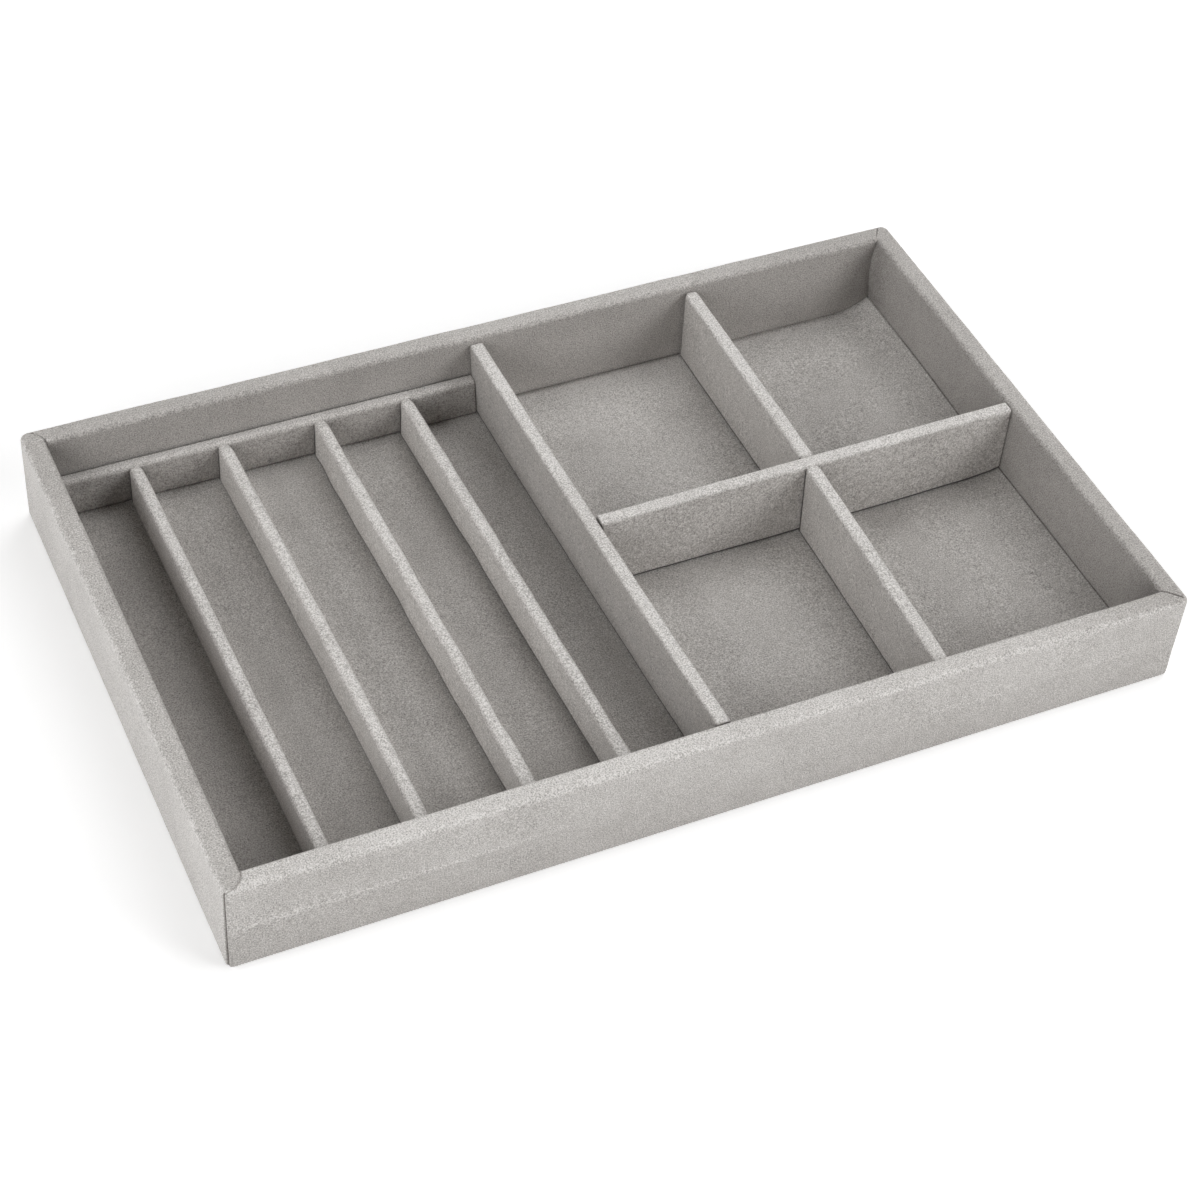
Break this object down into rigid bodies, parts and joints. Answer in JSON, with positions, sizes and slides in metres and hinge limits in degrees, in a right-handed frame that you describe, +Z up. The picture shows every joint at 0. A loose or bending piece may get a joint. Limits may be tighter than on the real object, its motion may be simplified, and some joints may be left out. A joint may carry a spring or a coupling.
{
  "type": "jewelry tray",
  "caption": "Low open jewelry tray of board covered in warm grey suede cloth, with narrow channels on the left and square cells on the right.",
  "frame": {"origin": "centre of the tray's footprint, on the surface that it stands on", "axes": "+X to the right along the long side, +Y from the front wall to the rear wall, +Z up"},
  "size_m": [0.35, 0.222, 0.0385],
  "materials": {
    "suede_cloth": "matt, short nap",
    "mdf": "sanded, uncoated",
    "greyboard": "matt",
    "felt": "matt, pressed"
  },
  "bodies": {
    "root": {"front_wall_board": "mdf", "rear_wall_board": "mdf", "left_wall_board": "mdf", "right_wall_board": "mdf", "base_board": "greyboard", "floor_card": "greyboard", "channel_divider_1_board": "greyboard", "channel_divider_2_board": "greyboard", "channel_divider_3_board": "greyboard", "channel_divider_4_board": "greyboard", "main_divider_board": "greyboard", "channel_rail_board": "greyboard", "cross_divider_board": "greyboard", "rear_cell_divider_board": "greyboard", "front_cell_divider_board": "greyboard", "wall_wrap": "suede_cloth", "floor_cloth": "suede_cloth", "channel_divider_1_cover": "suede_cloth", "channel_divider_2_cover": "suede_cloth", "channel_divider_3_cover": "suede_cloth", "channel_divider_4_cover": "suede_cloth", "main_divider_cover": "suede_cloth", "channel_rail_cover": "suede_cloth", "cross_divider_cover": "suede_cloth", "rear_cell_divider_cover": "suede_cloth", "front_cell_divider_cover": "suede_cloth", "bottom_lining": "felt"}
  },
  "joints": []
}
